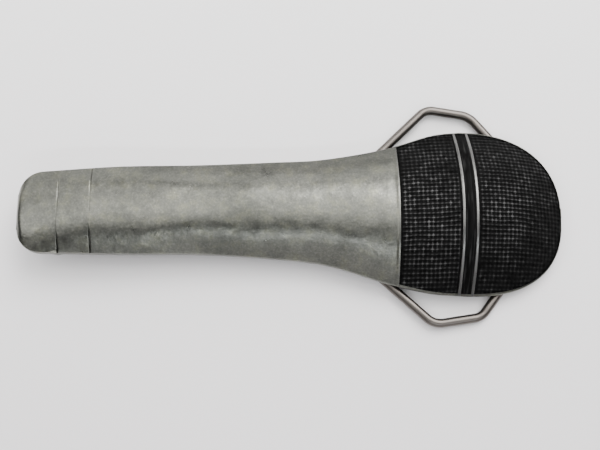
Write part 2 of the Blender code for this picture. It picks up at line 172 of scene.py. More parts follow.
def half_width(x, side=0.0):
    """Half of the width at x of a skin whose outline lies side within the outer one."""
    x = np.asarray(x, float)
    handle = along(HALF_WIDTHS, x) - side - tail_corner(x, side, TAIL_RADIUS - side / 2)
    reach = np.clip((x - DOME_X) / (DOME_LENGTH - side), 0, 1)
    dome = (HALF_WIDTHS[-1][1] - side) * (1 - reach**DOME_POWER) ** (1 / DOME_POWER)
    return np.where(x > DOME_X, dome, handle)


def crown(x, side=0.0):
    """Height of the face's top line at x."""
    x = np.asarray(x, float)
    return along(HEIGHTS, x) - tail_corner(x, side, TAIL_EASE)


def middle(x):
    return along(MIDDLES, x)


def away_from_crown(x, y, side=0.0):
    """0 on the top line to 1 on the outline."""
    x = np.asarray(x, float)
    width = np.abs(y - middle(x))
    handle = width / np.maximum(half_width(x, side), 0.01)
    reach = np.clip((x - DOME_X) / (DOME_LENGTH - side), 0, 1)
    flat = width / (HALF_WIDTHS[-1][1] - side)
    dome = (flat**DOME_POWER + reach**DOME_POWER) ** (1 / DOME_POWER)
    return np.clip(np.where(x > DOME_X, dome, handle), 0, 1)


def face_height(x, y, side=0.0, down=0.0, foot=None):
    foot = along(FEET, x) if foot is None else foot
    fall = (1 - away_from_crown(x, y, side) ** SECTION_POWER) ** SECTION_ROUNDING
    return foot + (crown(x, side) - down - foot) * fall


def frame_place():
    """Matrix from the buckle's own frame to the table."""
    down = next(mount for mount in frame["record"]["mounts"] if mount["name"] == "stud_tip")["axis"]
    hinge = Vector(frame["joints"][0]["pos_m"])
    turn = Matrix.Rotation(math.asin(-down[0]), 4, "Y")
    shift = hinge - turn @ Vector((HINGE_X * MM, 0.0, HINGE_Z * MM))
    return Matrix.Translation(shift) @ turn


PLACE = frame_place()


# ---------------------------------------------------------------- meshes


def add_piece(name, points, faces, finish, smooth_angle=40):
    """Adds a mesh given in millimetres in the buckle's frame."""
    mesh = bpy.data.meshes.new(name)
    mesh.from_pydata((np.asarray(points, float) * MM).tolist(), [], faces)
    mesh.validate()
    mesh.shade_smooth()
    if smooth_angle:
        mesh.set_sharp_from_angle(angle=math.radians(smooth_angle))
    mesh.materials.append(finish)
    made = bpy.data.objects.new(name, mesh)
    bpy.context.scene.collection.objects.link(made)
    made.matrix_world = PLACE
    return made


def add_values(piece, name, values):
    """A number for each point of a piece, for its material to read."""
    attribute = piece.data.attributes.new(name, "FLOAT", "POINT")
    attribute.data.foreach_set("value", np.asarray(values, np.float32))


def grid_faces(rows, columns, first=0, flip=False):
    a = first + (np.arange(rows - 1)[:, None] * columns + np.arange(columns - 1)).ravel()
    quads = np.stack([a, a + columns, a + columns + 1, a + 1], axis=1)
    return (quads[:, ::-1] if flip else quads).tolist()


def grid_edge(rows, columns):
    """Indices of a grid's edge, once round."""
    index = np.arange(rows * columns).reshape(rows, columns)
    return np.concatenate([index[:-1, 0], index[-1, :-1], index[:0:-1, -1], index[0, :0:-1]])


def outward(loop):
    """Unit normals in plan, pointing outwards, of a closed loop of points."""
    plan = loop[:, :2]
    tangent = np.roll(plan, -1, axis=0) - np.roll(plan, 1, axis=0)
    normal = np.stack([-tangent[:, 1], tangent[:, 0]], axis=1)
    length = np.maximum(np.linalg.norm(normal, axis=1, keepdims=True), 1e-9)
    centre = plan.mean(axis=0)
    normal = normal / length
    if np.sum((plan - centre) * normal) < 0:
        normal = -normal
    return normal


def ring_faces(start, count, following):
    """Quads between two closed loops of count points each."""
    k = np.arange(count)
    after = (k + 1) % count
    return np.stack([start + k, start + after, following + after, following + k], axis=1).tolist()


# ---------------------------------------------------------------- casting


def from_line(x, y, line, size, seed):
    """Distance along x from an engraved line, which wavers by bumps of the given size."""
    place, slant, bend = line
    along_y = y - LINE_Y
    return np.abs(x - place - slant * along_y - bend * along_y**2 + 0.2 * wander(y, 0 * y, size, seed))


def line_cut(x, y):
    """Depth share of the two engraved lines at the tail."""
    across = (y - middle(x)) / np.maximum(half_width(x), 1)
    front = from_line(x, y, FRONT_LINE, 3.5, 3)
    front_fade = 0.12 + 0.55 * smooth(0.3, 0.62, across) + 0.95 * smooth(-0.3, -0.55, across)
    front_fade *= 0.8 + 0.3 * wander(y, 0 * y, 2.2, 4)
    rear = from_line(x, y, REAR_LINE, 2.6, 5)
    rear_fade = 0.14 + 1.0 * smooth(-0.45, -0.75, across)
    rear_fade += 0.16 * smooth(0.1, 0.3, across) * smooth(0.8, 0.6, across)
    front_cut = np.exp(-((front / LINE_WIDTH) ** 2)) * front_fade
    return front_cut + np.exp(-((rear / LINE_WIDTH) ** 2)) * rear_fade


def lumps(x, y):
    """The casting's small unevenness, in millimetres."""
    wide = 0.20 * wander(x, y * 1.7, 13.0, 11) + 0.085 * wander(x, y * 1.4, 6.0, 12)
    return wide + 0.022 * wander(x, y, 2.4, 13) + 0.007 * wander(x, y, 0.9, 14)


def recess(x):
    """Share of the recess's depth at x, between the lip, the rings and the dome's end."""
    cut = ((x > MOUTH_X + EDGE_LAP) & (x < RECESS_TIP)).astype(float)
    for ring in RING_X:
        cut *= np.abs(x - ring) > RING_WIDTH / 2
    return cut


def enamel_edge(x, side):
    """Distance from the middle line to the enamel's edge, on the -y side (0) or the +y side (1)."""
    strip = STRIPS[side] + (STRIPS[1] - STRIPS[side]) * smooth(*STRIP_BLEND, x)
    return half_width(x, SKIRT_BULGE + strip)


def enamel_grid(xs, steps):
    """Points across the enamel at each of the places xs."""
    share = np.linspace(-1, 1, steps)
    low, high = (np.maximum(enamel_edge(xs, k) - 0.02, 0.03)[:, None] for k in (0, 1))
    x = np.repeat(xs[:, None], steps, axis=1)
    return x, middle(xs)[:, None] + np.where(share < 0, low * share, high * share)


def edge_rounding(x):
    """How far the lip and the rings round off beside the recess."""
    distance = np.where(x <= MOUTH_X + EDGE_LAP, MOUTH_X - x, 9.0)
    for ring in RING_X:
        inside = RING_WIDTH / 2 - np.abs(x - ring)
        distance = np.where(inside >= 0, inside, distance)
    gap = np.clip(LIP_RADIUS - np.clip(distance, 0, LIP_RADIUS), 0, LIP_RADIUS)
    return LIP_RADIUS - np.sqrt(LIP_RADIUS**2 - gap**2)


def casting_stations():
    """Places of the face's cross-sections, close together where it has fine detail."""
    turn = np.linspace(0, math.radians(88.5), 34)
    tail = TAIL_X + TAIL_RADIUS * (1 - np.cos(np.linspace(0.0, math.pi / 2, 12)))
    beside_mouth = [0.95, 0.75, 0.6, 0.48, 0.38, 0.3, 0.22, 0.15, 0.1, 0.06, 0.03, 0.01, 0.0, -0.03]
    spans = [
        tail,
        np.arange(-54.4, MOUTH_X - 1.0, 0.5),
        *[np.arange(start, end, 0.08) for start, end in LINE_SPANS],
        MOUTH_X - np.array(beside_mouth),
        np.arange(MOUTH_X + 0.6, DOME_X, 0.8),
        DOME_X + DOME_LENGTH * np.sin(turn) ** (2 / DOME_POWER),
    ]
    for ring in RING_X:
        half = RING_WIDTH / 2
        share = np.array([1.06, 1.0, 0.97, 0.9, 0.8, 0.68, 0.5, 0.25])
        spans += [ring - half * share, ring + half * share, np.array([ring])]
    xs = np.unique(np.round(np.concatenate(spans), 4))
    keep = np.concatenate([[True], np.diff(xs) > 0.008])
    return xs[keep]


def casting_columns():
    """Shares across the face inside the enamel's edge, then shares of the bare strip outside it."""
    widest = math.radians(84)
    inside = np.sin(np.linspace(-1, 1, 101) * widest) / math.sin(widest)
    strip = np.array([0.08, 0.35, 0.65, 0.88, 1.0])
    return inside, strip


def face_grid():
    """Points of the casting's face, with the recess, the lip, the rings and the engraved lines."""
    xs = casting_stations()
    inside, strip = casting_columns()
    outer = half_width(xs, SKIRT_BULGE)
    low, high = (np.clip(enamel_edge(xs, k), outer * 0.02, outer * 0.99) for k in (0, 1))
    left = -low[:, None] - (outer - low)[:, None] * strip[::-1]
    right = high[:, None] + (outer - high)[:, None] * strip
    centre = np.where(inside < 0, low[:, None] * inside, high[:, None] * inside)
    across = np.concatenate([left, centre, right], axis=1)
    x = np.repeat(xs[:, None], across.shape[1], axis=1)
    y = middle(xs)[:, None] + across
    z = face_height(x, y, SKIRT_BULGE)
    in_field = np.zeros_like(x)
    in_field[:, len(strip) : len(strip) + len(inside)] = 1
    away = away_from_crown(x, y)
    z += lumps(x, y) * (1 - away**6) * smooth(MOUTH_X + 0.5, MOUTH_X - 3, x)
    cut = recess(x) * in_field
    lines = line_cut(x, y)
    z -= cut * RECESS_DEPTH + edge_rounding(x) + lines * LINE_DEPTH
    z += 0.10 * smooth(MOUTH_X - 0.9, MOUTH_X - 0.4, x) * (x <= MOUTH_X + EDGE_LAP)
    return x, y, z, lines, cut


def burr(points):
    """A small cast burr on the tail's lower edge, beside the rear line."""
    away = (points[:, :2] - np.array(BURR_PLACE)) / np.array(BURR_SIZE)
    near = np.exp(-np.sum(away**2, axis=1))
    points[:, 1] -= 0.3 * near
    points[:, 2] += 0.2 * near


def skirt(loop, first):
    """Rings of points from the face's edge down round the rim to the inner wall, and their faces."""
    # (outward, share of the loop's height, millimetres above that)
    profile = [
        (0.07, 0.92, 0.0), (0.12, 0.78, 0.0), (0.15, 0.6, 0.0), (0.14, 0.4, 0.0), (0.1, 0.22, 0.0),
        (0.0, 0.08, 0.0), (-0.18, 0.0, 0.0), (-0.8, 0.0, -0.02), (-1.5, 0.0, 0.0), (-1.78, 0.0, 0.05),
        (-1.86, 0.0, 0.2), (-1.88, 0.0, 0.9),
    ]
    normal = outward(loop)
    points = []
    faces = []
    count = len(loop)
    for step, (out, share, lift) in enumerate(profile):
        ring = loop.copy()
        ring[:, :2] += normal * out
        ring[:, 2] = loop[:, 2] * share + lift
        points.append(ring)
        if step:
            faces += ring_faces(first + (step - 1) * count, count, first + step * count)
    return np.concatenate(points), faces


def inner_grid():
    """Points of the hollow's skin."""
    turn = np.linspace(0, math.radians(89), 20)
    end = TAIL_X + WALL
    xs = np.concatenate(
        [
            end + 2.4 * (1 - np.cos(np.linspace(0.0, math.pi / 2, 8))),
            np.arange(end + 3.4, DOME_X - 0.5, 1.2),
            DOME_X + (DOME_LENGTH - WALL) * np.sin(turn) ** (2 / DOME_POWER),
        ]
    )
    widest = math.radians(86)
    share = np.sin(np.linspace(-1, 1, 49) * widest) / math.sin(widest)
    x = np.repeat(xs[:, None], len(share), axis=1)
    y = middle(xs)[:, None] + half_width(xs, WALL)[:, None] * share
    z = face_height(x, y, WALL, WALL, INNER_FOOT)
    z += 0.07 * wander(x, y, 5.0, 21) + 0.03 * wander(x, y, 1.8, 22)
    return x, y, z


def post(x, radius, foot, root):
    """Points and faces of a cast boss with a rounded foot and a flared root."""
    profile = [
        (radius * 0.35, foot), (radius - 0.35, foot), (radius - 0.1, foot + 0.1), (radius, foot + 0.35),
        (radius + 0.05, root - 1.0), (radius + 0.2, root - 0.4), (radius + 0.5, root),
        (radius * 0.6, root + 0.4),
    ]
    return revolve(profile, (x, 0.0))


def revolve(profile, centre, sides=ROUND_SIDES):
    """Points and faces of a turned solid; profile is (radius, z) from one end to the other."""
    turn = np.linspace(0, math.tau, sides, endpoint=False)
    rings = [
        np.stack([centre[0] + r * np.cos(turn), centre[1] + r * np.sin(turn), np.full(sides, z)], axis=1)
        for r, z in profile
    ]
    faces = []
    for step in range(len(profile) - 1):
        faces += ring_faces(step * sides, sides, (step + 1) * sides)
    faces.append(tuple(range(sides)))
    last = (len(profile) - 1) * sides
    faces.append(tuple(last + k for k in reversed(range(sides))))
    return np.concatenate(rings), faces


def join(parts):
    """One list of points and faces from several."""
    points, faces, start = [], [], 0
    for part_points, part_faces in parts:
        points.append(part_points)
        faces += [tuple(k + start for k in face) for face in part_faces]
        start += len(part_points)
    return np.concatenate(points), faces


def tidy_normals(piece):
    shape = bmesh.new()
    shape.from_mesh(piece.data)
    bmesh.ops.recalc_face_normals(shape, faces=shape.faces)
    shape.to_mesh(piece.data)
    shape.free()


def casting(finish):
    x, y, z, lines, cut = face_grid()
    face = np.stack([x.ravel(), y.ravel(), z.ravel()], axis=1)
    burr(face)
    edge = grid_edge(*x.shape)
    skirt_points, skirt_faces = skirt(face[edge], len(face))
    count = len(edge)
    order = np.arange(count)
    after = (order + 1) % count
    seam = np.stack([edge[order], edge[after], len(face) + after, len(face) + order], axis=1).tolist()
    shell = (np.concatenate([face, skirt_points]), grid_faces(*x.shape) + seam + skirt_faces)
    ix, iy, iz = inner_grid()
    hollow = (np.stack([ix.ravel(), iy.ravel(), iz.ravel()], axis=1), grid_faces(*ix.shape, flip=True))
    posts = []
    for side in (-1, 1):
        root = BOSS_ROOT_Z + BOSS_ROOT_RISE * side
        posts.append(post(HINGE_X + side * RIVET_OFFSET, BOSS_RADIUS, PLATE_Z + PLATE_THICKNESS, root))
    posts.append(post(STUD_X, STUD_BOSS_RADIUS, STUD_BOSS_Z, STUD_BOSS_ROOT_Z))
    points, faces = join([shell, hollow, *posts])
    piece = add_piece("pewter_casting", points, faces, finish, 50)
    tidy_normals(piece)
    # painted shade: the engraved lines and the recess are drawn darker, as if shade fell in them, but not
    # on the rubbed rings and lip edge
    painted_groove_shade = np.zeros(len(points))
    painted_groove_shade[: len(face)] = np.clip(0.8 * lines.ravel(), 0, 1) + 0.9 * cut.ravel()
    ridge = edge_ridges(x)
    wear_and_painted_sheen = np.zeros(len(points))
    wear_and_painted_sheen[: len(face)] = ridge.ravel()
    painted_groove_shade[: len(face)] *= 1 - ridge.ravel()
    add_values(piece, "painted_groove_shade", np.clip(painted_groove_shade, 0, 1))
    add_values(piece, "wear_and_painted_sheen", wear_and_painted_sheen)
    return piece


def edge_ridges(x):
    """1 on the rings and on the lip's edge, where the metal is rubbed bright."""
    ridge = np.zeros_like(x)
    for ring in RING_X:
        ridge = np.maximum(ridge, (np.abs(x - ring) <= RING_WIDTH / 2 + 0.001).astype(float))
    lip = smooth(MOUTH_X - 0.42, MOUTH_X - 0.22, x) * (x <= MOUTH_X + EDGE_LAP)
    return np.maximum(ridge, 0.45 * lip)


# ---------------------------------------------------------------- enamel


def weave(x, y, pitch, seed):
    """Height share of the cast weave, and how much of the enamel is rubbed off it."""
    a = x / pitch[0] + 0.12 * wander(x, y, 3.4, seed) + 0.07 * wander(x, y, 0.8, seed + 1)
    b = y / pitch[1] + 0.12 * wander(x, y, 4.2, seed + 2) + 0.05 * wander(x, y, 0.9, seed + 3)
    column = 0.5 + 0.5 * np.cos(math.tau * a)
    row = 0.5 + 0.5 * np.cos(math.tau * b)
    crest = row**1.3
    height = 0.72 * crest * (0.68 + 0.32 * column**0.7) + 0.28 * column**1.6 * (1 - 0.5 * crest)
    cell_a, cell_b = (np.round(place).astype(int) % WEAVE_CHANCES for place in (a, b))
    chances = np.random.default_rng(seed + 9).uniform(0, 1, (WEAVE_CHANCES, WEAVE_CHANCES))
    chance = chances[cell_a, cell_b]
    rubbed = smooth(0.7, 1.0, row) * (0.25 + 0.75 * smooth(0.25, 0.8, column))
    rubbed = np.maximum(rubbed, 0.45 * smooth(0.82, 1.0, column) * chance)
    return height, rubbed * (0.3 + 0.7 * chance**2.2)


def field_rows(x_from, x_to, step):
    """Evenly spaced places of a field's cross-sections, step or slightly more apart."""
    count = int((x_to - x_from) / step)
    return np.linspace(x_from, x_to, count + 1)


def grille(name, x_from, x_to, pitch, seed, wear_at, finish):
    """A field of enamel over the cast weave, sunk between the metal round it.

    wear_at is the most worn place: its x and y, its reach along x and y, and the wear far from it.
    """
    tip = x_to > DOME_X
    x, y = enamel_grid(field_rows(x_from, x_to, pitch[0] / 8), 321)
    height, worn = weave(x, y, pitch, seed)
    from_ends = np.minimum(x - x_from, 9.0 if tip else x_to - x)
    flat_ends = smooth(FIELD_MARGIN * 0.6, FIELD_MARGIN * 1.5, from_ends)
    away = away_from_crown(x, y, SKIRT_BULGE + STRIPS[1])
    flat_edge = smooth(1.0, 0.985, away)
    relief = flat_ends * flat_edge
    z = face_height(x, y, SKIRT_BULGE)
    z += -GRILLE_SINK - WEAVE_HEIGHT * (1 - height * relief)
    z += 0.03 * wander(x, y, 3.0, seed + 5)
    worn_x, worn_y, reach_x, reach_y, least = wear_at
    patch = np.exp(-(((x - worn_x) / reach_x) ** 2) - (((y - worn_y) / reach_y) ** 2))
    patch = least + (1 - least) * patch + 0.25 * wander(x, y, 2.6, seed + 6)
    wear = worn * relief * np.clip(patch, 0.0, 1.0)
    return slab(name, x, y, z, wear, finish)


def slab(name, x, y, z, wear, finish):
    """A sheet with walls down to the recess's floor."""
    top = np.stack([x.ravel(), y.ravel(), z.ravel()], axis=1)
    edge = grid_edge(*x.shape)
    foot = top[edge].copy()
    foot[:, 2] -= RECESS_DEPTH
    count = len(edge)
    order = np.arange(count)
    after = (order + 1) % count
    walls = np.stack([edge[order], edge[after], len(top) + after, len(top) + order], axis=1).tolist()
    points = np.concatenate([top, foot])
    piece = add_piece(name, points, grid_faces(*x.shape) + walls, finish, None)
    tidy_normals(piece)
    add_values(piece, "wear", np.concatenate([wear.ravel(), np.zeros(count)]))
    return piece


def band(name, x_from, x_to, finish):
    """The smooth band between the rings, brushed on across the microphone."""
    x, y = enamel_grid(np.linspace(x_from, x_to, 25), 240)
    z = face_height(x, y, SKIRT_BULGE) - BAND_SINK
    z += 0.05 * ((x - (x_from + x_to) / 2) / (x_to - x_from) * 2) ** 2
    z += 0.02 * wander(x * 4, y * 0.35, 1.0, 31) + 0.015 * wander(x, y, 1.6, 32)
    wear = 0.10 * smooth(0.2, 1.0, wander(x * 5, y * 0.25, 1.0, 33))
    return slab(name, x, y, z, wear, finish)


# ---------------------------------------------------------------- bail


def rounded_path(corners):
    """A path through corners given as (point, bend radius), with arcs at the bends."""
    path = [np.array(corners[0][0], float)]
    for i in range(1, len(corners) - 1):
        before, corner, after = (np.array(corners[i + k][0], float) for k in (-1, 0, 1))
        radius = corners[i][1]
        inward = (before - corner) / np.linalg.norm(before - corner)
        onward = (after - corner) / np.linalg.norm(after - corner)
        half = math.acos(np.clip(inward @ onward, -1, 1)) / 2
        reach = radius / math.tan(half)
        centre = corner + (inward + onward) / np.linalg.norm(inward + onward) * radius / math.sin(half)
        start, end = corner + inward * reach - centre, corner + onward * reach - centre
        sweep = math.pi - 2 * half
        for share in np.linspace(0, 1, 13):
            weight = math.sin((1 - share) * sweep), math.sin(share * sweep)
            path.append(centre + (start * weight[0] + end * weight[1]) / math.sin(sweep))
    path.append(np.array(corners[-1][0], float))
    return np.array(path)


def tube(path, radius, sides=28):
    """Points and faces of a round wire along a path, with rounded ends."""
    dense = [path[0]]
    for start, end in zip(path[:-1], path[1:], strict=True):
        steps = max(1, round(np.linalg.norm(end - start) / 0.7))
        dense += [start + (end - start) * k / steps for k in range(1, steps + 1)]
    dense = np.array(dense)
    tangent = np.gradient(dense, axis=0)
    tangent /= np.linalg.norm(tangent, axis=1, keepdims=True)
    side = np.array([0.0, 0.0, 1.0])
    turn = np.linspace(0, math.tau, sides, endpoint=False)
    rings = []
    for place, ahead in zip(dense, tangent, strict=True):
        side = side - ahead * (side @ ahead)
        side /= np.linalg.norm(side)
        other = np.cross(ahead, side)
        rings.append((place, side, other, ahead))
    ends = [(0.55, 0.0), (0.85, 0.12), (1.0, 0.35)]  # share of the radius, distance from the tip
    points = []
    last = len(rings) - 1
    for index, (place, one, other, ahead) in enumerate(rings):
        circle = np.cos(turn)[:, None] * one + np.sin(turn)[:, None] * other
        worn = radius * (1 + 0.012 * np.sin(index * 0.37) + 0.008 * np.sin(index * 0.91))
        if index == 0:
            points += [place + ahead * lift + circle * worn * share for share, lift in ends]
        elif index == last:
            points += [place - ahead * lift + circle * worn * share for share, lift in reversed(ends)]
        else:
            points.append(place + circle * worn)
    faces = []
    for step in range(len(points) - 1):
        faces += ring_faces(step * sides, sides, (step + 1) * sides)
    faces.append(tuple(range(sides)))
    faces.append(tuple((len(points) - 1) * sides + k for k in reversed(range(sides))))
    return np.concatenate(points), faces


def bail(finish):
    """The hand-bent wire: its two halves aren't quite alike."""
    corners = [
        ((HINGE_X, 2.4, HINGE_Z), 0),
        ((HINGE_X, 6.6, HINGE_Z), 2.2),
        ((16.4, 10.9, BAIL_Z), 6.0),
        ((31.2, 25.2, BAIL_Z), 3.6),
        ((41.0, 23.6, BAIL_Z), 5.6),
        ((47.9, 15.4, BAIL_Z), 4.5),
        ((47.9, -14.6, BAIL_Z), 4.5),
        ((42.1, -22.3, BAIL_Z), 3.8),
        ((31.7, -23.9, BAIL_Z), 4.4),
        ((16.8, -10.6, BAIL_Z), 6.0),
        ((HINGE_X, -6.8, HINGE_Z), 2.2),
        ((HINGE_X, -2.4, HINGE_Z), 0),
    ]
    points, faces = tube(rounded_path(corners), WIRE_RADIUS)
    piece = add_piece("wire_bail", points, faces, finish, 50)
    tidy_normals(piece)
    # painted highlight and shade: the wire's colour is lighter on its top and outer side and darker on its
    # inner side, as light falls and reflects on it, with a little wander along the wire
    normals = np.array([vertex.normal for vertex in piece.data.vertices])
    from_centre = points[:, :2] - np.array([33.0, 0.0])
    from_centre /= np.linalg.norm(from_centre, axis=1, keepdims=True)
    outwards = np.sum(normals[:, :2] * from_centre, axis=1)
    along_wire = 0.12 * wander(points[:, 0], points[:, 1], 2.2, 71)
    add_values(piece, "wear_and_painted_sheen", smooth(0.0, 0.65, 0.75 * normals[:, 2] + 0.5 * outwards + along_wire))
    return piece


# ---------------------------------------------------------------- hardware on the back


def rounded_strip(low, high, chamfer):
    """Points and faces of a flat bar whose corners and edges are eased."""
    x0, y0, z0 = low
    x1, y1, z1 = high
    outline = []
    for cx, cy, start in ((x1, y1, 0), (x0, y1, 90), (x0, y0, 180), (x1, y0, 270)):
        sx, sy = (1 if cx == x1 else -1), (1 if cy == y1 else -1)
        for step in range(7):
            turn = math.radians(start + 15 * step)
            outline.append((cx - sx * 0.9 + 0.9 * math.cos(turn), cy - sy * 0.9 + 0.9 * math.sin(turn)))
    loop = np.array(outline)
    centre = loop.mean(axis=0)
    levels = [(chamfer, z0), (chamfer * 0.3, z0 + chamfer * 0.3), (0, z0 + chamfer)]
    levels += [(0, z1 - chamfer), (chamfer * 0.3, z1 - chamfer * 0.3), (chamfer, z1)]
    size = loop.max(axis=0) - centre
    rings = []
    for inset, z in levels:
        ring = centre + (loop - centre) * (1 - inset / size)
        rings.append(np.column_stack([ring, np.full(len(ring), z)]))
    count = len(loop)
    faces = []
    for step in range(len(rings) - 1):
        faces += ring_faces(step * count, count, (step + 1) * count)
    faces.append(tuple(range(count)))
    faces.append(tuple((len(rings) - 1) * count + k for k in reversed(range(count))))
    return np.concatenate(rings), faces


def ear(side):
    """An ear bent down from the plate, with an eased outline and a hole for the bail's end."""
    inner, outer = (side * y for y in EAR_Y)
    turn = np.linspace(0, math.tau, ROUND_SIDES, endpoint=False)
    arc_x = HINGE_X + EAR_RADIUS * np.cos(turn)
    arc_z = HINGE_Z + EAR_RADIUS * np.sin(turn)
    top = PLATE_Z + PLATE_THICKNESS
    upper = np.sin(turn) > 0
    reach = np.where(upper, (top - HINGE_Z) / np.maximum(np.abs(np.sin(turn)), 0.01), 99)
    square = np.minimum(reach, EAR_RADIUS / np.maximum(np.abs(np.cos(turn)), 0.01))
    arc_x = np.where(upper, HINGE_X + square * np.cos(turn), arc_x)
    arc_z = np.where(upper, HINGE_Z + square * np.sin(turn), arc_z)
    hole_radius = WIRE_RADIUS + EAR_HOLE_ROOM
    hole_x, hole_z = HINGE_X + np.cos(turn) * hole_radius, HINGE_Z + np.sin(turn) * hole_radius
    centre = np.array([HINGE_X, HINGE_Z])

    def loop(xs, zs, y, scale):
        flat = centre + (np.column_stack([xs, zs]) - centre) * scale
        return np.column_stack([flat[:, 0], np.full(len(flat), y), flat[:, 1]])

    small = 1 - EAR_EASE / EAR_RADIUS
    wide_hole = 1 + 0.1 / hole_radius
    low, high = inner + side * EAR_EASE, outer - side * EAR_EASE
    rings = [
        loop(hole_x, hole_z, inner, wide_hole),
        loop(arc_x, arc_z, inner, small),
        loop(arc_x, arc_z, low, 1),
        loop(arc_x, arc_z, high, 1),
        loop(arc_x, arc_z, outer, small),
        loop(hole_x, hole_z, outer, wide_hole),
        loop(hole_x, hole_z, high, 1),
        loop(hole_x, hole_z, low, 1),
    ]
    faces = []
    for step in range(len(rings)):
        faces += ring_faces(step * ROUND_SIDES, ROUND_SIDES, ((step + 1) % len(rings)) * ROUND_SIDES)
    return np.concatenate(rings), faces


def hinge_plate(finish):
    top = PLATE_Z + PLATE_THICKNESS
    low = (HINGE_X - PLATE_HALF_LENGTH, -PLATE_HALF_WIDTH, PLATE_Z)
    high = (HINGE_X + PLATE_HALF_LENGTH, PLATE_HALF_WIDTH, top)
    bridge_low = (HINGE_X - EAR_RADIUS, -EAR_Y[1] + 0.1, PLATE_Z + 0.02)
    bridge_high = (HINGE_X + EAR_RADIUS, EAR_Y[1] - 0.1, top - 0.02)
    strips = [rounded_strip(low, high, EAR_EASE), rounded_strip(bridge_low, bridge_high, EAR_EASE)]
    points, faces = join([*strips, ear(1), ear(-1)])
    piece = add_piece("stamped_hinge_plate", points, faces, finish, 35)
    tidy_normals(piece)
    return piece


def rivet(name, x, finish):
    """A domed rivet head under the plate, with its shank up in the boss."""
    seat = PLATE_Z - 0.02
    turn = np.radians(np.linspace(4, 88, 10))
    dome = [(RIVET_HEAD_RADIUS * math.sin(t), seat - 0.12 - 0.95 * math.cos(t)) for t in turn]
    shank_end = PLATE_Z + PLATE_THICKNESS + RIVET_DEPTH
    profile = [*dome, (RIVET_HEAD_RADIUS, seat), (RIVET_RADIUS, seat), (RIVET_RADIUS, shank_end)]
    points, faces = revolve(profile, (x, 0.0))
    piece = add_piece(name, points, faces, finish, 40)
    tidy_normals(piece)
    return piece


def stud(finish):
    """The turned belt stud: flange on the boss, a neck with a fillet, and a crowned button head."""
    profile = [
        (0.05, -5.5), (1.9, -5.5), (2.45, -5.42), (2.85, -5.2), (3.08, -4.85), (3.1, -4.55), (3.02, -4.25),
        (2.8, -4.1), (1.95, -4.08), (1.72, -3.98), (1.6, -3.7), (1.6, -0.8), (1.7, -0.5), (1.95, -0.36),
        (2.9, -0.32), (3.15, -0.2), (3.2, 0.0), (3.2, 0.65), (3.1, 0.85), (2.9, 0.97), (1.5, 0.98),
        (1.5, 3.6),
    ]
    points, faces = revolve(profile, (STUD_X, 0.0), 64)
    piece = add_piece("turned_belt_stud", points, faces, finish, 40)
    tidy_normals(piece)
    return piece


# ---------------------------------------------------------------- materials

# painted light falloff on the table: its colour is drawn lighter on the far side and darker on the near
# side, over this distance
TABLE_PAINTED_FALLOFF = 0.075  # metres to either side of the buckle over which the table brightens


def new_material(name, metallic=0.0, roughness=0.5):
    made = bpy.data.materials.new(name)
    made.use_nodes = True
    shader = made.node_tree.nodes["Principled BSDF"]
    shader.inputs["Metallic"].default_value = metallic
    shader.inputs["Roughness"].default_value = roughness
    return made, made.node_tree, shader


def add_node(tree, kind, **inputs):
    node = tree.nodes.new(kind)
    for key, value in inputs.items():
        node.inputs[key].default_value = value
    return node


def noise_at(tree, scale, detail=3.0, rough=0.55, stretch=(1.0, 1.0, 1.0)):
    """A noise texture on the object's own coordinates; scale is in bumps to the metre."""
    place = tree.nodes.new("ShaderNodeTexCoord")
    mapping = add_node(tree, "ShaderNodeMapping", Scale=stretch)
    texture = add_node(tree, "ShaderNodeTexNoise", Scale=scale, Detail=detail, Roughness=rough)
    tree.links.new(place.outputs["Object"], mapping.inputs["Vector"])
    tree.links.new(mapping.outputs["Vector"], texture.inputs["Vector"])
    return texture.outputs["Fac"]


def ramp(tree, source, stops):
    node = tree.nodes.new("ShaderNodeValToRGB")
    elements = node.color_ramp.elements
    while len(elements) < len(stops):
        elements.new(0.5)
    for element, (position, colour) in zip(elements, stops, strict=True):
        element.position = position
        element.color = (*colour, 1.0) if isinstance(colour, tuple) else (colour, colour, colour, 1.0)
    tree.links.new(source, node.inputs["Fac"])
    return node.outputs["Color"]


def mix(tree, factor, first, second, kind="MIX"):
    node = tree.nodes.new("ShaderNodeMix")
    node.data_type = "RGBA"
    node.blend_type = kind
    for socket, value in (("Factor", factor), ("A", first), ("B", second)):
        connect(tree, value, node.inputs[socket])
    return node.outputs["Result"]


def connect(tree, value, socket):
    if isinstance(value, bpy.types.NodeSocket):
        tree.links.new(value, socket)
    elif isinstance(value, tuple):
        socket.default_value = (*value, 1.0)
    else:
        socket.default_value = value


def attribute(tree, name):
    node = tree.nodes.new("ShaderNodeAttribute")
    node.attribute_name = name
    return node.outputs["Fac"]


def bump(tree, shader, layers):
    """Bumps from (height, strength, depth in metres) layers, one on another."""
    last = None
    for height, strength, depth in layers:
        node = add_node(tree, "ShaderNodeBump", Strength=strength, Distance=depth)
        tree.links.new(height, node.inputs["Height"])
        if last is not None:
            tree.links.new(last, node.inputs["Normal"])
        last = node.outputs["Normal"]
    tree.links.new(last, shader.inputs["Normal"])


